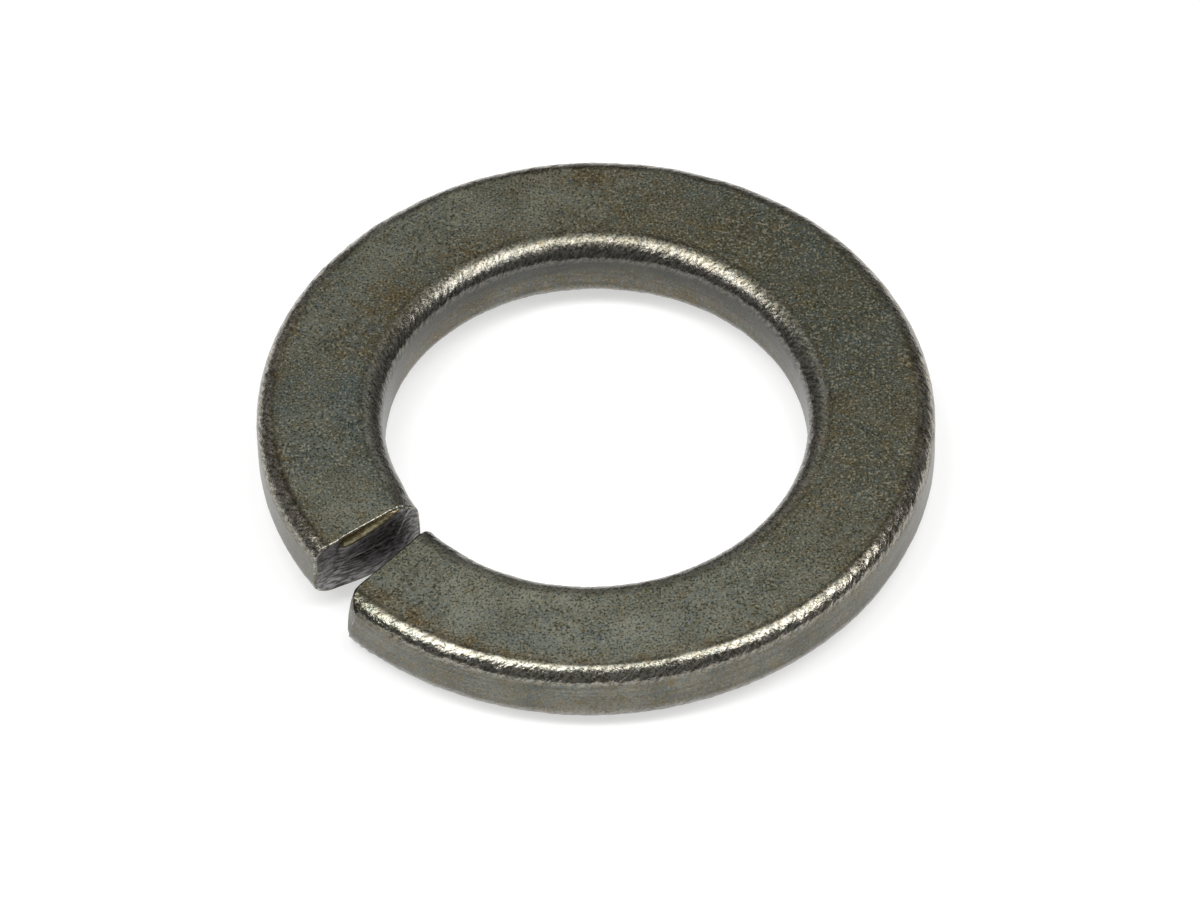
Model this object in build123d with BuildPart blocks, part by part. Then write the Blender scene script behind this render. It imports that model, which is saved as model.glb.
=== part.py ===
"""Spring lock washer: one coil of rounded rectangular steel, cut through and set with its ends apart.

The coil climbs towards +Z as it runs counter-clockwise, seen from above, from its low end to its high
end. The origin is on the bore's axis, at the level of the lowest point. Lengths are in millimetres and
angles in degrees, and bearings are measured from +X, counter-clockwise seen from above.
"""

import os
from math import cos, degrees, hypot, radians, sin, tan

from build123d import *

# The coil
BORE_DIAMETER = 16.4
SECTION_WIDTH = 4.9  # from the bore to the rim
SECTION_THICKNESS = 2.8  # along the axis
END_OFFSET = 1.0  # how far the high end stands above the low end

# The section's four rounded corners
TOP_RIM_RADIUS = 0.65
BOTTOM_RIM_RADIUS = 0.85
TOP_BORE_RADIUS = 0.9
BOTTOM_BORE_RADIUS = 0.65

# The split, a straight slot that widens towards the rim
SPLIT_BEARING = -142.0
SPLIT_SKEW = 3.0  # the slot's centre line from the radius, turned counter-clockwise
SPLIT_LEAN = 3.0  # the slot from the axis, its top moved counter-clockwise
GAP_AT_BORE = 0.85
GAP_AT_RIM = 1.8

# The high end's top edge, rolled over by the shear that cut the coil
ROLLOVER_START = 0.55  # along the edge, from where the rim's rounding ends to the roll's deep end
ROLLOVER_LENGTH = 2.8  # from the deep end to where the roll fades out
ROLLOVER_SETBACK = 0.12  # back along the top face
ROLLOVER_DROP = 0.55  # down the cut face

FULL_TURN = 360.0
BLANK_GAP = 0.2  # left open in the coiled blank, inside the slot that is cut later
CUT_ALLOWANCE = 2.0  # how far a cutting shape runs past the coil

bore_radius = BORE_DIAMETER / 2
rim_radius = bore_radius + SECTION_WIDTH
coil_radius = bore_radius + SECTION_WIDTH / 2
half_width = SECTION_WIDTH / 2
half_thickness = SECTION_THICKNESS / 2
half_gap = (GAP_AT_BORE + GAP_AT_RIM) / 4
half_flare = (GAP_AT_RIM - GAP_AT_BORE) / SECTION_WIDTH / 2

# The turn between the cut faces, and the blank's turn, both along the coil's centre line
open_turn = degrees(2 * half_gap / coil_radius)
blank_turn = FULL_TURN - degrees(BLANK_GAP / coil_radius)
coil_pitch = END_OFFSET * FULL_TURN / (FULL_TURN - open_turn)
blank_start = SPLIT_BEARING + (FULL_TURN - blank_turn) / 2
climb_to_low_end = coil_pitch * (SPLIT_BEARING + open_turn / 2 - blank_start) / FULL_TURN


def level_direction(bearing: float) -> Vector:
    """The level unit vector at a bearing."""
    return Vector(cos(radians(bearing)), sin(radians(bearing)), 0)


# The slot's own directions: out along its centre line, across it, and up its lean
slot_outward = level_direction(SPLIT_BEARING + SPLIT_SKEW)
slot_across = level_direction(SPLIT_BEARING + SPLIT_SKEW + 90)
slot_upright = (Vector(0, 0, 1) + slot_across * tan(radians(SPLIT_LEAN))).normalized()
slot_centre = level_direction(SPLIT_BEARING) * coil_radius + Vector(0, 0, half_thickness + END_OFFSET / 2)

with BuildPart() as spring_lock_washer:
    # Nearly one turn of the section's centre line, at half a thickness where the low end is cut
    with BuildLine(Plane.XY.offset(half_thickness - climb_to_low_end)) as centre_line:
        add(
            Helix(
                pitch=coil_pitch,
                height=coil_pitch * blank_turn / FULL_TURN,
                radius=coil_radius,
                mode=Mode.PRIVATE,
            ),
            rotation=blank_start,
        )

    # The blank, coiled from a square-cornered section that is over width, then bored and turned
    coil = centre_line.line
    with BuildSketch(Plane(coil @ 0, x_dir=level_direction(blank_start), z_dir=coil % 0)) as section:
        Rectangle(SECTION_WIDTH + CUT_ALLOWANCE, SECTION_THICKNESS)
    sweep(is_frenet=True)
    with BuildSketch(Plane.XY.offset(-CUT_ALLOWANCE)) as ring:
        Circle(rim_radius)
        Circle(bore_radius, mode=Mode.SUBTRACT)
    extrude(amount=SECTION_THICKNESS + END_OFFSET + 2 * CUT_ALLOWANCE, mode=Mode.INTERSECT)

    # The four long corners, the top ones found as the highest edges on their wall
    for wall_radius, by_height, rounding in (
        (rim_radius, -1, TOP_RIM_RADIUS),
        (rim_radius, 0, BOTTOM_RIM_RADIUS),
        (bore_radius, -1, TOP_BORE_RADIUS),
        (bore_radius, 0, BOTTOM_BORE_RADIUS),
    ):
        long_edges = spring_lock_washer.edges().filter_by(lambda edge: edge.length > coil_radius)
        wall_edges = long_edges.filter_by(
            lambda edge: abs(hypot((edge @ 0).X, (edge @ 0).Y) - wall_radius) < half_width
        )
        fillet(wall_edges.sort_by(Axis.Z)[by_height], rounding)

    # The slot, drawn halfway up the set coil and carried both ways along its lean
    slot_reach = half_width + CUT_ALLOWANCE
    slot_height = half_thickness + END_OFFSET + CUT_ALLOWANCE
    with BuildSketch(Plane(slot_centre, x_dir=slot_outward, z_dir=(0, 0, 1))) as slot:
        Polygon(
            (-slot_reach, -half_gap + half_flare * slot_reach),
            (slot_reach, -half_gap - half_flare * slot_reach),
            (slot_reach, half_gap + half_flare * slot_reach),
            (-slot_reach, half_gap - half_flare * slot_reach),
            align=None,
        )
    extrude(amount=slot_height, dir=slot_upright, both=True, mode=Mode.SUBTRACT)

    # The rollover, a shallow scoop off the high end's top edge: abrupt by the rim, faded by the bore
    high_face = spring_lock_washer.faces().filter_by(GeomType.PLANE).sort_by(Axis.Z)[-1]
    top_edge = high_face.edges().sort_by(Axis.Z)[-1]
    bore_corner, rim_corner = top_edge.vertices().sort_by_distance((0, 0, 0))
    along_edge = (bore_corner.center() - rim_corner.center()).normalized()
    outwards = high_face.normal_at()
    scoop_plane = Plane(
        rim_corner.center() + along_edge * ROLLOVER_START,
        x_dir=along_edge,
        z_dir=outwards * ROLLOVER_SETBACK - Vector(0, 0, ROLLOVER_DROP),
    )
    scoop_depth = ROLLOVER_SETBACK * ROLLOVER_DROP / hypot(ROLLOVER_SETBACK, ROLLOVER_DROP)
    with BuildSketch(scoop_plane) as scoop:
        with BuildLine():
            ThreePointArc((0, -scoop_depth), (ROLLOVER_LENGTH / 3, -scoop_depth), (ROLLOVER_LENGTH, 0))
            Polyline((ROLLOVER_LENGTH, 0), (ROLLOVER_LENGTH, scoop_depth), (0, scoop_depth), (0, -scoop_depth))
        make_face()
    extrude(amount=ROLLOVER_DROP + ROLLOVER_SETBACK, both=True, mode=Mode.SUBTRACT)

os.makedirs("parts", exist_ok=True)
spring_lock_washer.part.label = "spring_lock_washer"
export_step(spring_lock_washer.part, "parts/spring_lock_washer.step")
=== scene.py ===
"""Looks of a spring lock washer: one coil of oiled steel with rounded corners and two sheared ends.

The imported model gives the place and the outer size. The coil is worked out again here as one closed
surface on a fine grid, so that its hammered corners, sheared faces and rolled edge are real shape.
Lengths in the classes are in millimetres and are turned into metres as each mesh is made. Bearings are
in degrees from +X, counter-clockwise seen from above.
"""

import logging
import math
from dataclasses import dataclass, field
from enum import Enum

import bpy
import numpy as np
from mathutils import Matrix, Vector

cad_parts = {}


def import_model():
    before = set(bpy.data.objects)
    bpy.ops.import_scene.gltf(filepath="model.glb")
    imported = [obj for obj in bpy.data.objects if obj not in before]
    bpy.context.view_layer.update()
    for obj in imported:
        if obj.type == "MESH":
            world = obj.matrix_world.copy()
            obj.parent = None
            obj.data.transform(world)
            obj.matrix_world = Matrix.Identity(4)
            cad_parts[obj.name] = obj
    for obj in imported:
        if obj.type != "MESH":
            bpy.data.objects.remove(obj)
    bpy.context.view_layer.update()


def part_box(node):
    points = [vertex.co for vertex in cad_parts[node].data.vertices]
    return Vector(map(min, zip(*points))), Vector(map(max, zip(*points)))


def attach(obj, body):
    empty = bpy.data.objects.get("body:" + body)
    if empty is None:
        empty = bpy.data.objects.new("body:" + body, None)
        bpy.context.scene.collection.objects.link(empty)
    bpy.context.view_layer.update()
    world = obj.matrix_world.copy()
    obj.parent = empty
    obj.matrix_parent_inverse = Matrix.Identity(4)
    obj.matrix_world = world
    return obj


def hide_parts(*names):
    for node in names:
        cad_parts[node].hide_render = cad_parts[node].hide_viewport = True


MM = 0.001
LOG = logging.getLogger("spring_lock_washer")


class Layer(Enum):
    """The vertex attributes that tell the steel's finish where each kind of surface lies, and where light and
    shade are painted into its colour.
    """

    CORNER = "corner"
    SHEARED = "sheared"
    ROLLED = "rolled"
    SEAM = "seam"
    STAIN = "stain"
    BLUED = "blued"
    PAINTED_LIGHT = "painted_light"
    WALL = "wall"
    SHADED = "shaded"
    ALONG = "along"
    AROUND = "around"


# ---------------------------------------------------------------------------------------------------
# Noise, worked out for whole arrays of points
# ---------------------------------------------------------------------------------------------------


def lattice_value(cell: np.ndarray, seed: int) -> np.ndarray:
    """Gives each lattice cell a fixed number from -1 to 1.

    The three whole coordinates are multiplied by large odd numbers, mixed by shifts and exclusive ors,
    and the low bits are read as a fraction.

    Args:
        cell: Whole coordinates, in the last axis.
        seed: Picks one field of numbers.

    Returns:
        One number for each cell.
    """
    whole = cell.astype(np.int64).astype(np.uint64)
    mixed = whole[..., 0] * np.uint64(0x9E3779B1) ^ whole[..., 1] * np.uint64(0x85EBCA77)
    mixed = mixed ^ whole[..., 2] * np.uint64(0xC2B2AE3D) ^ np.uint64(seed * 0x27D4EB2F)
    for shift, factor in ((15, 0x2C1B3C6D), (12, 0x297A2D39), (15, 0x165667B1)):
        mixed = (mixed ^ (mixed >> np.uint64(shift))) * np.uint64(factor)
    mixed = mixed ^ (mixed >> np.uint64(16))
    return (mixed & np.uint64(0xFFFF)).astype(float) / 0x7FFF - 1.0


def smooth_noise(points: np.ndarray, size: float, seed: int) -> np.ndarray:
    """Value noise: the lattice's numbers, blended between its eight corners by a smooth step.

    Args:
        points: Positions, with X, Y and Z in the last axis.
        size: The lattice's spacing, in the same unit.
        seed: Picks one field.

    Returns:
        One number from about -1 to 1 for each point.
    """
    scaled = points / size
    base = np.floor(scaled)
    part = scaled - base
    part = part * part * (3.0 - 2.0 * part)
    total = np.zeros(points.shape[:-1])
    for corner in np.ndindex(2, 2, 2):
        step = np.array(corner)
        weight = np.prod(np.where(step == 1, part, 1.0 - part), axis=-1)
        total += weight * lattice_value(base + step, seed)
    return total


def layered_noise(points: np.ndarray, size: float, seed: int, layers: int = 3) -> np.ndarray:
    """Sums layers of value noise, each of half the size and half the height of the one before."""
    total = np.zeros(points.shape[:-1])
    for layer in range(layers):
        total += smooth_noise(points, size / 2**layer, seed + 17 * layer) / 2**layer
    return total


def smooth_step(low: float, high: float, value: np.ndarray) -> np.ndarray:
    """Rises from 0 at low to 1 at high along the cubic 3t^2 - 2t^3."""
    part = np.clip((value - low) / (high - low), 0.0, 1.0)
    return part * part * (3.0 - 2.0 * part)


# ---------------------------------------------------------------------------------------------------
# Meshes
# ---------------------------------------------------------------------------------------------------


def closed_tube(rings: np.ndarray, name: str) -> bpy.types.Object:
    """Makes one closed mesh from rings of points that run from a first pole to a last pole.

    Neighbouring rings are joined by four-sided faces. The first and last rings are each gathered into
    one vertex, which a fan of triangles closes.

    Args:
        rings: Points in metres, of shape (rings, points on a ring, 3), counter-clockwise on each ring as
            seen from the end that the rings run towards.
        name: The object's name.

    Returns:
        The new object, in the scene.
    """
    inner = rings[1:-1]
    count, around = inner.shape[:2]
    vertices = np.concatenate([rings[0].mean(axis=0)[None], inner.reshape(-1, 3), rings[-1].mean(axis=0)[None]])
    row, column = np.meshgrid(np.arange(count - 1), np.arange(around), indexing="ij")
    here = 1 + row * around + column
    beside = 1 + row * around + (column + 1) % around
    quads = np.stack([here, beside, beside + around, here + around], axis=-1).reshape(-1, 4)
    spoke = np.arange(around)
    first = np.stack([np.zeros(around, int), 1 + (spoke + 1) % around, 1 + spoke], axis=-1)
    last_row = 1 + (count - 1) * around
    pole = np.full(around, len(vertices) - 1)
    last = np.stack([pole, last_row + spoke, last_row + (spoke + 1) % around], axis=-1)
    mesh = bpy.data.meshes.new(name)
    mesh.from_pydata(vertices.tolist(), [], quads.tolist() + first.tolist() + last.tolist())
    mesh.shade_smooth()
    mesh.validate()
    piece = bpy.data.objects.new(name, mesh)
    bpy.context.scene.collection.objects.link(piece)
    return piece


def add_layer(piece: bpy.types.Object, layer: Layer, values: np.ndarray) -> None:
    """Stores one number for each vertex, from an array of one number for each ring point.

    Args:
        piece: A mesh from closed_tube.
        layer: The attribute's name.
        values: Numbers of shape (rings, points on a ring), with the poles' rings.
    """
    flat = np.concatenate([[values[0].mean()], values[1:-1].ravel(), [values[-1].mean()]])
    attribute = piece.data.attributes.new(layer.value, "FLOAT", "POINT")
    attribute.data.foreach_set("value", flat.astype(np.float32))


# ---------------------------------------------------------------------------------------------------
# The washer
# ---------------------------------------------------------------------------------------------------


@dataclass
class Section:
    """The coil's section, with its four rounded corners."""

    width: float = 4.9
    thickness: float = 2.8
    top_rim: float = 0.65
    bottom_rim: float = 0.85
    top_bore: float = 0.9
    bottom_bore: float = 0.65
    bore_wear: float = 0.65
    corner_steps: tuple[int, int, int, int] = (19, 12, 12, 20)

    def outline(self) -> tuple[np.ndarray, np.ndarray, np.ndarray]:
        """Works out the rounded rectangle, counter-clockwise with the rim to the right.

        Each corner is a quarter circle, and each side is the straight run between two of them, with
        points that stand closer together near the corners.

        Returns:
            Points and outward normals as (across, up) from the section's centre, and how much of each
            point belongs to a rounded corner, from 0 on a side's middle to 1 on an arc's middle.
        """
        half_width, half_thickness = self.width / 2, self.thickness / 2
        corners = (
            (1, 1, self.top_rim, self.corner_steps[0], 0.0),
            (-1, 1, self.top_bore, self.corner_steps[3], 90.0),
            (-1, -1, self.bottom_bore, self.corner_steps[2], 180.0),
            (1, -1, self.bottom_rim, self.corner_steps[1], 270.0),
        )
        side_steps = (15, 7, 12, 7)
        arcs, normals, share = [], [], []
        for side_x, side_y, radius, steps, start in corners:
            angle = np.radians(start + 90.0 * np.linspace(0.0, 1.0, steps))
            normal = np.stack([np.cos(angle), np.sin(angle)], axis=-1)
            centre = np.array([side_x * (half_width - radius), side_y * (half_thickness - radius)])
            arcs.append(centre + radius * normal)
            normals.append(normal)
            worn_down = 1.0 if side_x > 0 else self.bore_wear
            share.append(worn_down * np.sin(np.linspace(0.0, np.pi, steps)))
        points, outward, corner = [], [], []
        for index, steps in enumerate(side_steps):
            following = (index + 1) % 4
            ease = 0.5 - 0.5 * np.cos(np.pi * np.linspace(0.0, 1.0, steps + 2)[1:-1])
            ease = 0.5 * ease + 0.5 * np.linspace(0.0, 1.0, steps + 2)[1:-1]
            run = arcs[index][-1] + ease[:, None] * (arcs[following][0] - arcs[index][-1])
            points += [arcs[index], run]
            outward += [normals[index], np.repeat(normals[index][-1:], steps, axis=0)]
            corner += [share[index], np.zeros(steps)]
        # The outline starts in the middle of the bottom, where a join of its first and last points hides.
        shift = -(sum(self.corner_steps[index] for index in (0, 3, 2)) + sum(side_steps[:2]) + side_steps[2] // 2)
        return tuple(np.roll(np.concatenate(part), shift, axis=0) for part in (points, outward, corner))


@dataclass
class Split:
    """The slanted slot between the ends, and the rolled edge of the high end."""

    bearing: float = -142.0
    skew: float = 3.0
    lean: float = 3.0
    gap_at_bore: float = 0.85
    gap_at_rim: float = 1.8
    lip: float = 0.06
    high_bulge: float = 0.34
    low_bulge: float = 0.2
    low_rim_round: float = 0.95
    low_bore_round: float = 0.45
    roll_start: float = 1.2
    roll_length: float = 3.0
    roll_drop: float = 0.44
    roll_ledge: float = 0.12
    pinch: float = 0.12
    sink: float = 0.22


@dataclass
class Washer:
    """The whole washer: one closed surface along one turn of a helix."""

    node: str = "spring_lock_washer"
    end_offset: float = 1.0
    section: Section = field(default_factory=Section)
    split: Split = field(default_factory=Split)
    turn_steps: int = 845
    end_steps: int = 22
    cap_steps: int = 22

    def __post_init__(self) -> None:
        """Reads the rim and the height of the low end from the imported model."""
        low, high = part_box(self.node)
        self.rim_radius = (high[0] - low[0]) / MM / 2
        self.coil_radius = self.rim_radius - self.section.width / 2
        self.low_height = self.section.thickness / 2
        self.mid_height = self.low_height + self.end_offset / 2
        turn = math.radians(self.split.bearing)
        skewed = math.radians(self.split.bearing + self.split.skew)
        self.slot_centre = np.array(
            [self.coil_radius * math.cos(turn), self.coil_radius * math.sin(turn), self.mid_height]
        )
        self.slot_out = np.array([math.cos(skewed), math.sin(skewed), 0.0])
        self.slot_across = np.array([-math.sin(skewed), math.cos(skewed), 0.0])
        self.half_gap = (self.split.gap_at_bore + self.split.gap_at_rim) / 4
        self.flare = (self.split.gap_at_rim - self.split.gap_at_bore) / self.section.width / 2
        self.open_turn = 2 * self.half_gap / self.coil_radius

    def height(self, turn: np.ndarray) -> np.ndarray:
        """The centre line's height, which climbs in proportion to the turn from the slot's middle."""
        closed = 2 * math.pi - self.open_turn
        return self.low_height + self.end_offset * (turn - self.open_turn / 2) / closed

    def place(self, turn: np.ndarray, across: np.ndarray, up: np.ndarray) -> np.ndarray:
        """Puts section points on the helix.

        The bearing is the slot's plus the turn, the radius is the coil's plus the distance across, and
        the height is the centre line's plus the distance up.

        Args:
            turn: Radians along the coil from the slot's middle.
            across: Millimetres outwards from the section's centre.
            up: Millimetres above the section's centre.

        Returns:
            Points in millimetres.
        """
        bearing = math.radians(self.split.bearing) + turn
        radius = self.coil_radius + across
        return np.stack(
            [radius * np.cos(bearing), radius * np.sin(bearing), self.height(turn) + up], axis=-1
        )

    def beyond_cut(self, points: np.ndarray, high: bool) -> np.ndarray:
        """Millimetres by which points lie inside the slot, past one of its two faces.

        The distance across the slot, less its lean with height, is compared with half the gap, which
        grows in proportion to the distance outwards.
        """
        offset = points - self.slot_centre
        outwards = offset @ self.slot_out
        across = offset @ self.slot_across - offset[..., 2] * math.tan(math.radians(self.split.lean))
        edge = self.half_gap + self.flare * outwards
        return across + edge if high else edge - across

    def cut_turn(self, across: np.ndarray, up: np.ndarray, high: bool) -> np.ndarray:
        """Finds the turn at which each section point meets a cut face, by Newton's steps."""
        turn = np.full(across.shape, 2 * math.pi - self.open_turn / 2 if high else self.open_turn / 2)
        way = 1.0 if high else -1.0
        for _ in range(8):
            past = self.beyond_cut(self.place(turn, across, up), high)
            turn = turn - way * past / (self.coil_radius + across)
        return turn

    def grid(self) -> tuple[np.ndarray, dict[Layer, np.ndarray]]:
        """Works out the rings of the closed surface, from the low cap's pole to the high cap's pole.

        Each cap is the section's outline drawn in towards its middle line in even steps, on the cut
        face. A lip a few hundredths wide rounds from the cap to the coil by a quarter circle. Along the
        coil, each outline point runs from its meeting with one cut face to its meeting with the other.

        Returns:
            Rings of points in millimetres, and the attributes of every point.
        """
        outline, normal, corner = self.section.outline()
        lip = self.split.lip
        # The caps shrink to a short middle line, so that their points stay evenly spaced.
        spine = np.stack([np.clip(outline[:, 0], -1.1, 1.1), np.zeros(len(outline))], axis=-1)
        inset = outline - lip * normal
        steps = np.linspace(0.0, 1.0, self.cap_steps + 1)[:-1] ** 0.9
        cap = spine + steps[:, None, None] * (inset - spine)
        quarter = np.linspace(0.0, math.pi / 2, 5)
        lip_rings = outline - lip * (1 - np.sin(quarter))[:, None, None] * normal
        lip_back = lip * (1 - np.cos(quarter))
        rings, layers = [], {layer: [] for layer in Layer}
        radius = self.coil_radius + outline[:, 0]
        ends = {
            False: self.cut_turn(outline[:, 0], outline[:, 1], False) - self.low_face(outline) / radius,
            True: self.cut_turn(outline[:, 0], outline[:, 1], True) + self.high_face(outline) / radius,
        }

        def add(points: np.ndarray, sheared: float, rounded: np.ndarray) -> None:
            """Keeps rows of rings, with the attributes that follow from the kind of surface."""
            rings.append(points)
            layers[Layer.SHEARED].append(np.full(points.shape[:2], sheared))
            layers[Layer.CORNER].append(np.broadcast_to(rounded, points.shape[:2]))

        def end_rows(high: bool) -> tuple[np.ndarray, np.ndarray]:
            """The cap's and the lip's rings of one end, from the pole outwards."""
            turns = self.cut_turn(cap[..., 0], cap[..., 1], high)
            way = -1.0 if high else 1.0
            proud = self.high_face(cap) if high else self.low_face(cap)
            turns = turns - way * proud / (self.coil_radius + cap[..., 0])
            cap_rows = self.place(turns, cap[..., 0], cap[..., 1])
            lip_turns = ends[high][None] + way * lip_back[:, None] / radius[None]
            return cap_rows, self.place(lip_turns, lip_rings[..., 0], lip_rings[..., 1])

        low_cap, low_lip = end_rows(False)
        high_cap, high_lip = end_rows(True)
        add(low_cap, 1.0, np.zeros(len(outline)))
        # The rounding by the rim keeps the coil's own skin.
        layers[Layer.SHEARED][0] = 1 - smooth_step(1.2, 1.9, cap[..., 0])
        top_lip = np.maximum(corner, 0.9 * (outline[:, 1] > 0))
        add(low_lip, 0.5, top_lip)
        # Rows stand closer together by the cuts, where the edges show.
        near = 1.0 * (np.linspace(0.0, 1.0, self.end_steps + 1)[1:]) ** 1.5
        start, stop = ends[False] + lip / radius, ends[True] - lip / radius
        close = near[:, None] / radius[None]
        middle = np.linspace(0.0, 1.0, self.turn_steps + 2)[1:-1, None]
        low_rows = start[None] + close
        high_rows = stop[None] - close[::-1]
        long_rows = low_rows[-1] + middle * (high_rows[0] - low_rows[-1])
        turns = np.concatenate([low_rows, long_rows, high_rows])
        add(self.place(turns, outline[None, :, 0], outline[None, :, 1]), 0.0, corner)
        add(high_lip[::-1], 0.5, top_lip)
        add(high_cap[::-1], 1.0, np.zeros(len(outline)))
        grid = np.concatenate(rings)
        layers[Layer.ROLLED].append(np.zeros((len(grid) - len(cap), len(outline))))
        layers[Layer.ROLLED].append(self.rolled_share_and_painted_light(cap)[::-1])
        made = {layer: np.concatenate(rows) for layer, rows in layers.items() if rows}
        steps_around = np.linalg.norm(np.diff(outline, axis=0), axis=-1)
        around = np.concatenate([[0.0], np.cumsum(steps_around)])
        made[Layer.AROUND] = np.broadcast_to(around, grid.shape[:2])
        bearing = np.degrees(np.arctan2(grid[..., 1], grid[..., 0]))
        turned = np.mod(bearing - self.split.bearing, 360.0)
        made[Layer.ALONG] = np.radians(turned) * self.coil_radius
        # A thin dark line follows each place where the top face meets a rounded corner.
        top_side = outline[:, 1] > 0
        half_width = self.section.width / 2
        rim_line = np.exp(-(((outline[:, 0] - half_width + self.section.top_rim * 0.9) / 0.1) ** 2))
        bore_line = np.exp(-(((outline[:, 0] + half_width - self.section.top_bore * 0.95) / 0.1) ** 2))
        seam = np.broadcast_to(top_side * (rim_line + 0.6 * bore_line), grid.shape[:2])
        wall = smooth_step(0.7, 0.98, np.abs(normal[:, 0]))
        made[Layer.WALL] = np.broadcast_to(wall, grid.shape[:2]) * (1 - made[Layer.SHEARED])
        # Painted shade: the upper half of the bore's wall is coloured darker, where it reflects little light.
        painted_shade = smooth_step(-0.5, 0.5, outline[:, 1]) * smooth_step(0.3, 0.9, -normal[:, 0])
        made[Layer.SHADED] = np.broadcast_to(painted_shade, grid.shape[:2]) * (1 - made[Layer.SHEARED])
        made[Layer.SEAM] = seam * (1 - made[Layer.SHEARED]) * (0.75 + 0.5 * smooth_noise(grid, 1.2, 61))
        return self.pinched(grid, turned), made

    def low_face(self, section_points: np.ndarray) -> np.ndarray:
        """How proud the low end's face stands: a swell at mid height, less a rounding at rim and bore.

        The swell falls with the square of the height. Each rounding is a quarter circle seen from above,
        full at the top and less than half at the bottom.
        """
        up = section_points[..., 1] / (self.section.thickness / 2)
        across = section_points[..., 0]
        half_width = self.section.width / 2
        rim, bore = self.split.low_rim_round, self.split.low_bore_round
        to_rim = np.clip((across - half_width + rim) / rim, 0.0, 0.999)
        to_bore = np.clip((-across - half_width + bore) / bore, 0.0, 0.999)
        rounded = rim * (1 - np.sqrt(1 - to_rim**2)) + bore * (1 - np.sqrt(1 - to_bore**2))
        towards_bore = 0.05 * smooth_step(0.0, 2.0, -across)
        return self.split.low_bulge * (1 - up**2) + towards_bore - rounded * (0.7 + 0.3 * up)

    def high_face(self, section_points: np.ndarray) -> np.ndarray:
        """How proud the high end's face stands, in millimetres.

        The face swells downwards and towards the bore. Over part of its length the top skin rolled down
        before the steel parted: there the face stays back to the depth of a curved line, and steps out
        below it in a ledge that faces up.

        Args:
            section_points: Points as (across, up) from the section's centre.

        Returns:
            Millimetres out of the cut plane.
        """
        half_width, half_thickness = self.section.width / 2, self.section.thickness / 2
        across, up = section_points[..., 0], section_points[..., 1]
        down = half_thickness - up
        from_rim = half_width - across
        inwards = smooth_step(0.1, 2.6, from_rim) * (1 - 0.35 * smooth_step(3.4, 4.9, from_rim))
        swell = self.split.high_bulge * smooth_step(-0.5, 2.4, down) * inwards
        run = np.clip((from_rim - self.split.roll_start) / self.split.roll_length, 0.0, 1.0)
        line = self.split.roll_drop * (1 + 0.25 * run - 1.25 * run**2)
        rolled = (from_rim > self.split.roll_start) & (down < line)
        part = np.clip(down / np.maximum(line, 1e-3), 0.0, 1.0)
        ledge = swell + self.split.roll_ledge * (1 - run**3)
        below = ledge * np.exp(-np.maximum(down - line, 0.0) / 0.35) + swell * (
            1 - np.exp(-np.maximum(down - line, 0.0) / 0.35)
        )
        inside = -0.03 + (ledge + 0.03) * part**2.5
        start = smooth_step(-0.04, 0.06, from_rim - self.split.roll_start)
        return np.where(rolled, inside, swell + start * (below - swell))

    def rolled_share_and_painted_light(self, section_points: np.ndarray) -> np.ndarray:
        """Marks the rolled skin on the high end's face, from 0.4 at its top edge to 1 at its lower edge; the rise
        carries painted light, lighter where the face turns up.
        """
        down = self.section.thickness / 2 - section_points[..., 1]
        from_rim = self.section.width / 2 - section_points[..., 0]
        run = np.clip((from_rim - self.split.roll_start) / self.split.roll_length, 0.0, 1.0)
        line = self.split.roll_drop * (1 + 0.25 * run - 1.25 * run**2)
        inside = smooth_step(-0.03, 0.03, from_rim - self.split.roll_start)
        inside = inside * (1 - smooth_step(-0.02, 0.04, down - line))
        return inside * (0.4 + 0.6 * np.clip(down / np.maximum(line, 1e-3), 0.0, 1.0) ** 2)

    def pinched(self, grid: np.ndarray, turned: np.ndarray) -> np.ndarray:
        """Draws the bore side in near the high end, where the shear squeezed it.

        Within the last two millimetres, points on the bore side move outwards, and those at the top of
        that side sink too, each by a smooth step of the distance to the cut and to the bore.
        """
        to_end = (360.0 - np.degrees(self.open_turn / 2) - turned) * math.pi / 180 * self.coil_radius
        end = 1 - smooth_step(0.0, 2.2, np.abs(to_end))
        radius = np.hypot(grid[..., 0], grid[..., 1])
        bore_side = 1 - smooth_step(0.0, 1.5, radius - (self.coil_radius - self.section.width / 2))
        up = grid[..., 2] - self.height(np.radians(turned))
        top = smooth_step(0.2, 1.4, up)
        out = 1 + self.split.pinch * end * bore_side / radius
        moved = grid * np.stack([out, out, np.ones_like(out)], axis=-1)
        moved[..., 2] -= self.split.sink * end * bore_side * top
        return moved

    def build(self) -> bpy.types.Object:
        """Makes the washer's mesh, with its relief and its attributes."""
        grid, layers = self.grid()
        normal = surface_normals(grid)
        relief = self.relief(grid, layers)
        grid = grid + relief[..., None] * normal
        bearing = np.degrees(np.arctan2(grid[..., 1], grid[..., 0]))
        radius = np.hypot(grid[..., 0], grid[..., 1])
        layers[Layer.STAIN] = patches(grid, bearing, radius, RUST_PATCHES, seed=31)
        layers[Layer.BLUED] = patches(grid, bearing, radius, BLUE_PATCHES, seed=47)
        # Painted light: lighter patches of colour, chiefly on the near side of the face.
        layers[Layer.PAINTED_LIGHT] = patches(grid, bearing, radius, PAINTED_LIGHT_PATCHES, seed=53)
        grid = self.keep_inside(grid)
        piece = closed_tube(grid * MM, "washer_steel")
        for layer, values in layers.items():
            add_layer(piece, layer, values)
        return piece

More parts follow.
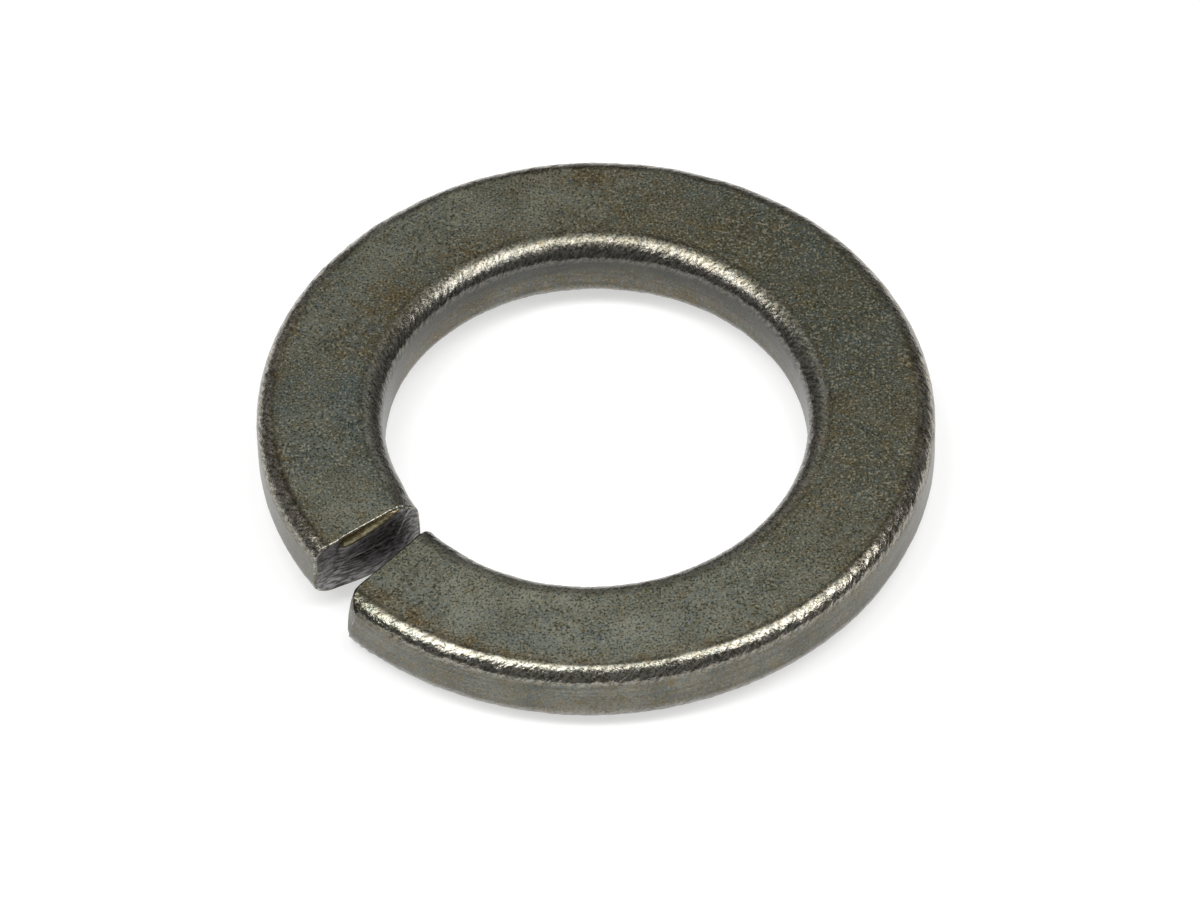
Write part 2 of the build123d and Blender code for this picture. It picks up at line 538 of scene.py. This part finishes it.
    def relief(self, grid: np.ndarray, layers: dict[Layer, np.ndarray]) -> np.ndarray:
        """The height of the hammered corners, the uneven faces and the shear's streaks.

        The corners carry two sizes of ripple, the faces one broad and one small unevenness, and the cut
        faces ridges that run along a slanting line, made by noise that is long that way and short
        across it.

        Args:
            grid: Points in millimetres.
            layers: The attributes so far.

        Returns:
            Millimetres outwards for each point.
        """
        corner, sheared = layers[Layer.CORNER], layers[Layer.SHEARED]
        along, around = layers[Layer.ALONG], layers[Layer.AROUND]
        strokes = np.stack([(along + around) / 0.42, (around - along) / 0.15, np.zeros_like(along)], axis=-1)
        hammered = 0.009 * layered_noise(strokes, 1.0, 5, 2) + 0.02 * smooth_noise(grid, 1.1, 9)
        hammered = hammered + 0.009 * layered_noise(grid, 0.3, 19, 2)
        # The low end's corner took the worst of the handling.
        hammered = hammered * (1 + 1.6 * (1 - smooth_step(1.0, 4.0, along)))
        uneven = 0.007 * smooth_noise(grid, 4.0, 11) + 0.0025 * layered_noise(grid, 0.45, 13, 2)
        slant = grid[..., 2] + 0.3 * (grid @ self.slot_out) + 0.05 * (grid @ self.slot_out) ** 2
        streak_points = np.stack([grid @ self.slot_out / 2.2, grid @ self.slot_across, slant / 0.2], axis=-1)
        streaks = 0.011 * layered_noise(streak_points, 1.0, 23, 2) + 0.04 * smooth_noise(grid, 1.4, 29)
        relief = uneven * (1 - sheared) + hammered * np.sqrt(corner) * (1 - sheared)
        relief = relief + np.where(sheared > 0.75, streaks * (1 - layers[Layer.ROLLED]), 0.0)
        return relief - 0.012 * layers[Layer.SEAM] - 0.008

    def keep_inside(self, grid: np.ndarray) -> np.ndarray:
        """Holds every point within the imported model's box."""
        low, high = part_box(self.node)
        return np.clip(grid, np.array(low) / MM, np.array(high) / MM)


@dataclass(frozen=True)
class Patch:
    """A soft-edged patch of colour on the steel, placed by bearing and radius."""

    bearing: float
    radius: float
    long: float
    wide: float
    strength: float


RUST_PATCHES = (
    Patch(151.0, 9.6, 2.6, 1.4, 0.8),
    Patch(90.0, 12.2, 2.6, 1.0, 0.7),
    Patch(170.0, 12.6, 4.0, 0.35, 0.7),
    Patch(-160.0, 12.6, 3.2, 0.3, 0.8),
    Patch(10.0, 9.2, 2.2, 0.4, 0.5),
    Patch(-128.0, 12.2, 3.0, 0.5, 0.8),
    Patch(-104.0, 12.3, 4.4, 0.3, 0.6),
    Patch(-70.0, 12.3, 4.0, 0.25, 0.5),
    Patch(-20.0, 12.5, 4.0, 0.35, 0.4),
    Patch(120.0, 9.5, 3.4, 0.8, 0.4),
)
# Painted light: soft patches of lighter colour. The largest lies on the near side of the face and stands in for
# the lamps lighting it more there.
PAINTED_LIGHT_PATCHES = (
    Patch(-92.0, 10.9, 9.0, 4.2, 1.25),
    Patch(-118.0, 10.8, 4.0, 2.4, 0.3),
    Patch(125.0, 11.6, 6.0, 2.4, 0.5),
    Patch(170.0, 11.4, 5.0, 1.8, 0.35),
    Patch(-150.0, 11.0, 4.0, 2.4, 0.3),
    Patch(98.0, 11.4, 5.0, 2.8, 0.4),
)
BLUE_PATCHES = (
    Patch(-175.0, 11.8, 2.6, 1.1, 0.8),
    Patch(-118.0, 11.4, 3.4, 1.2, 0.8),
    Patch(-92.0, 11.6, 3.6, 1.0, 0.8),
    Patch(-62.0, 10.6, 3.0, 1.2, 0.7),
    Patch(-22.0, 11.2, 3.0, 1.2, 0.3),
    Patch(155.0, 12.2, 2.4, 0.8, 0.6),
)


def patches(
    grid: np.ndarray, bearing: np.ndarray, radius: np.ndarray, spots: tuple[Patch, ...], seed: int
) -> np.ndarray:
    """Adds up soft patches, each a bell curve along the coil and across it, broken up by noise."""
    total = np.zeros(bearing.shape)
    for spot in spots:
        turned = np.mod(bearing - spot.bearing + 180.0, 360.0) - 180.0
        along = np.radians(turned) * spot.radius / spot.long
        across = (radius - spot.radius) / spot.wide
        total += spot.strength * np.exp(-(along**2) - across**2)
    return np.clip(total * (0.75 + 0.5 * layered_noise(grid, 1.1, seed)), 0.0, 1.0)


def surface_normals(grid: np.ndarray) -> np.ndarray:
    """Unit normals of a grid of rings: the cross product of the steps around and along it."""
    around = np.roll(grid, -1, axis=1) - np.roll(grid, 1, axis=1)
    along = np.gradient(grid, axis=0)
    normal = np.cross(around, along)
    return normal / np.maximum(np.linalg.norm(normal, axis=-1, keepdims=True), 1e-9)


# ---------------------------------------------------------------------------------------------------
# The steel's finish
# ---------------------------------------------------------------------------------------------------


@dataclass(frozen=True)
class OiledSteel:
    """Olive grey phosphated and oiled steel. Colours are linear, sizes in millimetres."""

    body: tuple[float, float, float] = (0.108, 0.108, 0.077)
    dark: tuple[float, float, float] = (0.03, 0.03, 0.017)
    beige: tuple[float, float, float] = (0.33, 0.315, 0.235)
    umber: tuple[float, float, float] = (0.15, 0.112, 0.048)
    rust: tuple[float, float, float] = (0.135, 0.085, 0.03)
    blue: tuple[float, float, float] = (0.088, 0.13, 0.142)
    worn: tuple[float, float, float] = (0.44, 0.405, 0.36)
    # The lighter colour of the painted light patches.
    painted_light: tuple[float, float, float] = (0.3, 0.305, 0.24)
    wall: tuple[float, float, float] = (0.165, 0.15, 0.132)
    # The dark colour of the painted shade on the upper half of the bore's wall.
    painted_shade: tuple[float, float, float] = (0.06, 0.062, 0.06)
    seam: tuple[float, float, float] = (0.02, 0.016, 0.008)
    sheared: tuple[float, float, float] = (0.36, 0.345, 0.345)
    scored: tuple[float, float, float] = (0.085, 0.082, 0.082)
    # The light colour at the rolled skin's lower edge, partly painted light where its face turns up.
    rolled: tuple[float, float, float] = (0.42, 0.40, 0.26)
    roughness: float = 0.4
    streak_turn: tuple[float, float, float] = (0.0, 0.3, 0.66)
    streak_scale: tuple[float, float, float] = (1.1, 12.0, 20.0)

    def dress(self, piece: bpy.types.Object) -> None:
        """Gives the piece this finish."""
        material = bpy.data.materials.new("oiled_steel")
        material.use_nodes = True
        tree = material.node_tree
        graph = Graph(tree)
        shader = tree.nodes["Principled BSDF"]
        place = graph.node("ShaderNodeTexCoord").outputs["Object"]
        corner = graph.attribute(Layer.CORNER)
        sheared = graph.attribute(Layer.SHEARED)
        rolled = graph.attribute(Layer.ROLLED)
        stain = graph.attribute(Layer.STAIN)
        blued = graph.attribute(Layer.BLUED)

        painted_light = graph.attribute(Layer.PAINTED_LIGHT)
        seam = graph.attribute(Layer.SEAM)
        strokes = graph.strokes(graph.attribute(Layer.ALONG), graph.attribute(Layer.AROUND))

        wall = graph.attribute(Layer.WALL)
        shaded = graph.attribute(Layer.SHADED)
        drawn = graph.drawn_lines(graph.attribute(Layer.ALONG), graph.attribute(Layer.AROUND))

        grit = graph.noise(place, 0.03, detail=2.0)
        pit = graph.noise(place, 0.045, detail=3.0)
        fleck = graph.noise(place, 0.05, detail=2.0)
        hue = graph.noise(place, 0.11, detail=3.0)
        tone = graph.noise(place, 0.3, detail=5.0)
        mottle = graph.noise(place, 0.8, detail=5.0)
        cloud = graph.noise(place, 1.8, detail=4.0)
        cast = graph.noise(place, 3.6, detail=4.0)

        colour = graph.mix(graph.ramp(cloud, ((0.42, 0.0), (0.62, 0.7))), self.body, self.blue)
        colour = graph.mix(graph.ramp(cast, ((0.45, 0.0), (0.7, 0.5))), colour, self.umber)
        # Painted light: the colour is lightened in patches, mostly on the near side, standing in for more light
        # falling there.
        colour = graph.mix(painted_light, colour, self.painted_light)
        colour = graph.mix(graph.scaled(wall, 0.7), colour, self.wall)
        colour = graph.mix(graph.scaled(blued, 0.45), colour, self.blue)
        colour = graph.mix(graph.ramp(mottle, ((0.35, 0.0), (0.75, 0.4))), colour, self.dark)
        colour = graph.mix(graph.ramp(tone, ((0.48, 0.0), (0.72, 0.5))), colour, self.umber)
        colour = graph.mix(graph.product(stain, graph.ramp(tone, ((0.3, 0.3), (0.6, 1.0)))), colour, self.rust)
        colour = graph.mix(graph.ramp(hue, ((0.5, 0.0), (0.68, 0.5))), colour, self.blue)
        colour = graph.mix(graph.ramp(hue, ((0.32, 0.5), (0.46, 0.0))), colour, self.umber)
        speckle = graph.blend(wall, 0.85, 0.4)
        dark_dots = graph.product(graph.ramp(pit, ((0.38, 1.0), (0.52, 0.0))), speckle)
        colour = graph.mix(dark_dots, colour, self.dark)
        light_dots = graph.product(graph.ramp(fleck, ((0.53, 0.0), (0.68, 1.0))), speckle)
        colour = graph.mix(light_dots, colour, self.beige)
        lines = graph.product(wall, graph.ramp(drawn, ((0.4, 0.0), (0.7, 0.28))))
        colour = graph.mix(lines, colour, self.dark)
        # Painted shade: the upper half of the bore's wall is coloured darker.
        colour = graph.mix(graph.scaled(shaded, 0.7), colour, self.painted_shade)
        broken_seam = graph.product(seam, graph.ramp(hue, ((0.36, 0.35), (0.5, 1.0))))
        colour = graph.mix(graph.scaled(broken_seam, 0.95), colour, self.seam)
        wear = graph.product(corner, graph.ramp(strokes, ((0.4, 0.12), (0.56, 1.0))))
        wear = graph.product(wear, graph.ramp(graph.attribute(Layer.ALONG), ((0.8, 0.12), (5.0, 1.0))))
        wear = graph.product(wear, graph.ramp(pit, ((0.4, 0.3), (0.5, 1.0))))
        colour = graph.mix(graph.scaled(wear, 0.8), colour, self.worn)
        # Painted shade: the corners near the low end are coloured darker, so that they hold no highlight there.
        painted_end_shade = graph.product(corner, graph.ramp(graph.attribute(Layer.ALONG), ((0.6, 0.8), (2.8, 0.0))))
        colour = graph.mix(graph.product(painted_end_shade, graph.ramp(hue, ((0.42, 1.0), (0.6, 0.2)))), colour, self.dark)
        slant = graph.node("ShaderNodeMapping")
        slant.inputs["Rotation"].default_value = self.streak_turn
        slant.inputs["Scale"].default_value = self.streak_scale
        graph.link(place, slant.inputs["Vector"])
        score = graph.noise(slant.outputs["Vector"], 1.0, detail=5.0)
        cut = graph.mix(graph.ramp(score, ((0.4, 0.0), (0.62, 1.0))), self.scored, self.sheared)
        colour = graph.mix(graph.ramp(sheared, ((0.7, 0.0), (0.9, 1.0))), colour, cut)
        # Partly painted light: the rolled skin keeps its own umber and olive colours, and runs from dark at its
        # top edge to light at its lower edge, standing in for its face turning from down to up.
        uneven = graph.added(rolled, graph.scaled(graph.centred(graph.noise(place, 0.09, detail=3.0)), 1.1))
        skin = graph.mix(graph.ramp(uneven, ((0.62, 0.0), (0.92, 1.0))), self.umber, self.rolled)
        skin = graph.mix(graph.ramp(fleck, ((0.5, 0.0), (0.65, 0.4))), skin, self.beige)
        colour = graph.mix(graph.ramp(rolled, ((0.1, 0.0), (0.4, 1.0))), colour, skin)
        graph.link(colour, shader.inputs["Base Color"])

        rough = graph.blend(corner, self.roughness, 0.17)
        rough = graph.added(rough, graph.scaled(wall, -0.08))
        rough = graph.added(rough, graph.scaled(graph.centred(fleck), 0.3))
        graph.link(rough, shader.inputs["Roughness"])
        shader.inputs["Metallic"].default_value = 1.0

        height = graph.added(graph.scaled(pit, 0.6), graph.scaled(grit, 0.3))
        height = graph.product(height, graph.blend(wall, 1.0, 0.35))
        crinkle = graph.added(strokes, graph.scaled(hue, 1.3))
        height = graph.added(height, graph.scaled(graph.product(corner, crinkle), 1.3))
        bump = graph.node("ShaderNodeBump")
        bump.inputs["Strength"].default_value = 0.7
        bump.inputs["Distance"].default_value = 0.02 * MM
        graph.link(height, bump.inputs["Height"])
        graph.link(bump.outputs["Normal"], shader.inputs["Normal"])
        piece.data.materials.clear()
        piece.data.materials.append(material)


class Graph:
    """Short calls that add nodes to one material's tree and link them."""

    def __init__(self, tree: bpy.types.NodeTree) -> None:
        """Keeps the tree that every call adds to."""
        self.tree = tree

    def node(self, kind: str) -> bpy.types.Node:
        """Adds a node of a kind."""
        return self.tree.nodes.new(kind)

    def link(self, source: bpy.types.NodeSocket, target: bpy.types.NodeSocket) -> None:
        """Joins an output to an input."""
        self.tree.links.new(source, target)

    def feed(self, value: object, target: bpy.types.NodeSocket) -> None:
        """Links a socket, or sets a plain number or colour."""
        if isinstance(value, bpy.types.NodeSocket):
            self.link(value, target)
        elif isinstance(value, tuple):
            target.default_value = (*value, 1.0)
        else:
            target.default_value = value

    def attribute(self, layer: Layer) -> bpy.types.NodeSocket:
        """Reads a vertex attribute as a number."""
        node = self.node("ShaderNodeAttribute")
        node.attribute_name = layer.value
        return node.outputs["Fac"]

    def strokes(self, along: bpy.types.NodeSocket, around: bpy.types.NodeSocket) -> bpy.types.NodeSocket:
        """Noise drawn out into short slanting strokes, on distances along the coil and around it."""
        joined = self.node("ShaderNodeCombineXYZ")
        self.link(self.scaled(self.added(along, around), 1.9), joined.inputs["X"])
        self.link(self.scaled(self.math("SUBTRACT", around, along), 5.5), joined.inputs["Y"])
        node = self.node("ShaderNodeTexNoise")
        node.inputs["Scale"].default_value = 1.0
        node.inputs["Detail"].default_value = 3.0
        self.link(joined.outputs["Vector"], node.inputs["Vector"])
        return node.outputs["Fac"]

    def drawn_lines(self, along: bpy.types.NodeSocket, around: bpy.types.NodeSocket) -> bpy.types.NodeSocket:
        """Noise drawn out into long faint lines that run with the coil."""
        joined = self.node("ShaderNodeCombineXYZ")
        self.link(self.scaled(along, 0.35), joined.inputs["X"])
        self.link(self.scaled(around, 5.0), joined.inputs["Y"])
        node = self.node("ShaderNodeTexNoise")
        node.inputs["Scale"].default_value = 1.0
        node.inputs["Detail"].default_value = 4.0
        self.link(joined.outputs["Vector"], node.inputs["Vector"])
        return node.outputs["Fac"]

    def noise(self, place: bpy.types.NodeSocket, size: float, detail: float) -> bpy.types.NodeSocket:
        """Adds noise whose features are about a size in millimetres across."""
        node = self.node("ShaderNodeTexNoise")
        node.inputs["Scale"].default_value = 1.0 / (size * MM) / 2.0
        node.inputs["Detail"].default_value = detail
        node.inputs["Roughness"].default_value = 0.6
        self.link(place, node.inputs["Vector"])
        return node.outputs["Fac"]

    def ramp(
        self, value: bpy.types.NodeSocket, stops: tuple[tuple[float, float], tuple[float, float]]
    ) -> bpy.types.NodeSocket:
        """Maps a value smoothly from one range to another, held at its ends."""
        node = self.node("ShaderNodeMapRange")
        node.interpolation_type = "SMOOTHSTEP"
        node.inputs["From Min"].default_value, node.inputs["To Min"].default_value = stops[0]
        node.inputs["From Max"].default_value, node.inputs["To Max"].default_value = stops[1]
        self.link(value, node.inputs["Value"])
        return node.outputs["Result"]

    def math(self, operation: str, first: object, second: object) -> bpy.types.NodeSocket:
        """Adds a math node on two values."""
        node = self.node("ShaderNodeMath")
        node.operation = operation
        self.feed(first, node.inputs[0])
        self.feed(second, node.inputs[1])
        return node.outputs[0]

    def scaled(self, value: bpy.types.NodeSocket, factor: float) -> bpy.types.NodeSocket:
        """Multiplies a value by a number."""
        return self.math("MULTIPLY", value, factor)

    def product(self, first: bpy.types.NodeSocket, second: bpy.types.NodeSocket) -> bpy.types.NodeSocket:
        """Multiplies two values."""
        return self.math("MULTIPLY", first, second)

    def added(self, first: bpy.types.NodeSocket, second: bpy.types.NodeSocket) -> bpy.types.NodeSocket:
        """Adds two values."""
        return self.math("ADD", first, second)

    def centred(self, value: bpy.types.NodeSocket) -> bpy.types.NodeSocket:
        """Takes a half from a value, so that noise lies about nothing."""
        return self.math("SUBTRACT", value, 0.5)

    def blend(self, share: bpy.types.NodeSocket, low: float, high: float) -> bpy.types.NodeSocket:
        """A number between two, by a share."""
        node = self.node("ShaderNodeMapRange")
        node.inputs["To Min"].default_value = low
        node.inputs["To Max"].default_value = high
        self.link(share, node.inputs["Value"])
        return node.outputs["Result"]

    def mix(self, share: bpy.types.NodeSocket, first: object, second: object) -> bpy.types.NodeSocket:
        """A colour between two, by a share."""
        node = self.node("ShaderNodeMix")
        node.data_type = "RGBA"
        self.feed(share, node.inputs["Factor"])
        self.feed(first, node.inputs[6])
        self.feed(second, node.inputs[7])
        return node.outputs[2]


# ---------------------------------------------------------------------------------------------------
# The studio
# ---------------------------------------------------------------------------------------------------


@dataclass
class Studio:
    """A white floor, two soft boxes overhead, dim surroundings and the camera."""

    floor_reach: float = 900.0
    floor_white: float = 0.5
    floor_glow: float = 0.56
    glow_near: float = 45.0
    glow_far: float = 160.0
    surroundings: float = 0.22
    view_bearing: float = 0.92
    view_height: float = 49.26
    view_roll: float = -1.62
    view_distance: float = 314.4
    lens: float = 243.6
    aim_aside: float = 0.14
    aim_up: float = -0.712

    def floor(self) -> bpy.types.Object:
        """A level square under the washer, white to the camera but for the washer's shadow."""
        low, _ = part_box("spring_lock_washer")
        reach = self.floor_reach * MM
        corners = [(-reach, -reach), (reach, -reach), (reach, reach), (-reach, reach)]
        mesh = bpy.data.meshes.new("studio_floor")
        mesh.from_pydata([(x, y, low[2]) for x, y in corners], [], [(0, 1, 2, 3)])
        floor = bpy.data.objects.new("studio_floor", mesh)
        bpy.context.scene.collection.objects.link(floor)
        material = bpy.data.materials.new("studio_floor")
        material.use_nodes = True
        graph = Graph(material.node_tree)
        shader = material.node_tree.nodes["Principled BSDF"]
        shader.inputs["Base Color"].default_value = (self.floor_white,) * 3 + (1.0,)
        shader.inputs["Roughness"].default_value = 0.9
        shader.inputs["Specular IOR Level"].default_value = 0.0
        shader.inputs["Emission Color"].default_value = (1.0, 1.0, 1.0, 1.0)
        path = graph.node("ShaderNodeLightPath")
        seen = graph.math("MAXIMUM", path.outputs["Is Camera Ray"], path.outputs["Is Glossy Ray"])
        # Away from the washer, where the lamps don't reach, the floor glows white by itself.
        distance = graph.node("ShaderNodeVectorMath")
        distance.operation = "LENGTH"
        graph.link(graph.node("ShaderNodeTexCoord").outputs["Object"], distance.inputs[0])
        glow = graph.ramp(distance.outputs["Value"], ((self.glow_near * MM, self.floor_glow), (self.glow_far * MM, 1.0)))
        graph.link(graph.product(seen, glow), shader.inputs["Emission Strength"])
        mesh.materials.append(material)
        return floor

    def box_light(
        self, name: str, place: tuple[float, float, float], size: tuple[float, float], radiance: float
    ) -> None:
        """Adds a rectangular lamp that faces the washer.

        Args:
            name: The lamp's name.
            place: Its centre, in millimetres.
            size: Its width and length, in millimetres.
            radiance: How bright its face is, where 1 is white.
        """
        data = bpy.data.lights.new(name, "AREA")
        data.shape = "RECTANGLE"
        data.size, data.size_y = size[0] * MM, size[1] * MM
        # A lamp's face of radiance L sends out pi times L for each unit of its area.
        data.energy = radiance * math.pi * data.size * data.size_y
        lamp = bpy.data.objects.new(name, data)
        lamp.location = Vector(place) * MM
        lamp.rotation_euler = (-lamp.location).to_track_quat("-Z", "Y").to_euler()
        bpy.context.scene.collection.objects.link(lamp)

    def world(self) -> None:
        """Dim level light all round, with white where the camera sees past the floor."""
        world = bpy.data.worlds.new("studio")
        bpy.context.scene.world = world
        world.use_nodes = True
        graph = Graph(world.node_tree)
        background = world.node_tree.nodes["Background"]
        background.inputs["Color"].default_value = (1.0, 1.0, 1.0, 1.0)
        path = graph.node("ShaderNodeLightPath")
        strength = graph.node("ShaderNodeMapRange")
        strength.inputs["To Min"].default_value = self.surroundings
        strength.inputs["To Max"].default_value = 1.0
        graph.link(path.outputs["Is Camera Ray"], strength.inputs["Value"])
        graph.link(strength.outputs["Result"], background.inputs["Strength"])

    def camera(self) -> None:
        """Places a long lens on the washer, level but for a slight roll."""
        low, high = (Vector(corner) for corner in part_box("spring_lock_washer"))
        turn, rise = math.radians(self.view_bearing), math.radians(self.view_height)
        away = Vector((math.sin(turn) * math.cos(rise), -math.cos(turn) * math.cos(rise), math.sin(rise)))
        facing = away.to_track_quat("Z", "Y").to_matrix() @ Matrix.Rotation(
            math.radians(self.view_roll), 3, "Z"
        )
        aim = (low + high) / 2 + facing @ Vector((self.aim_aside, self.aim_up, 0.0)) * MM
        data = bpy.data.cameras.new("view")
        data.lens = self.lens
        data.sensor_width = 36.0
        data.clip_start, data.clip_end = 0.01, 10.0
        camera = bpy.data.objects.new("view", data)
        camera.matrix_world = Matrix.Translation(aim + away * self.view_distance * MM) @ facing.to_4x4()
        bpy.context.scene.collection.objects.link(camera)
        bpy.context.scene.camera = camera

    def build(self) -> None:
        """Makes the whole studio."""
        self.floor()
        self.box_light("soft_box_left", (-56.0, -18.0, 110.0), (52.0, 108.0), 6.4)
        self.box_light("soft_box_right", (56.0, -18.0, 110.0), (52.0, 108.0), 5.6)
        self.box_light("back_card", (-10.0, 120.0, 120.0), (200.0, 90.0), 0.6)
        self.world()
        self.camera()
        bpy.context.scene.view_settings.view_transform = "Standard"


def main() -> None:
    """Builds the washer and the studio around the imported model."""
    logging.basicConfig(level=logging.INFO, format="%(name)s: %(message)s")
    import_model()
    washer = Washer()
    piece = washer.build()
    OiledSteel().dress(piece)
    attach(piece, "root")
    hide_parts(washer.node)
    LOG.info("%s: %d faces", piece.name, len(piece.data.polygons))
    Studio().build()


if __name__ == "__main__":
    main()
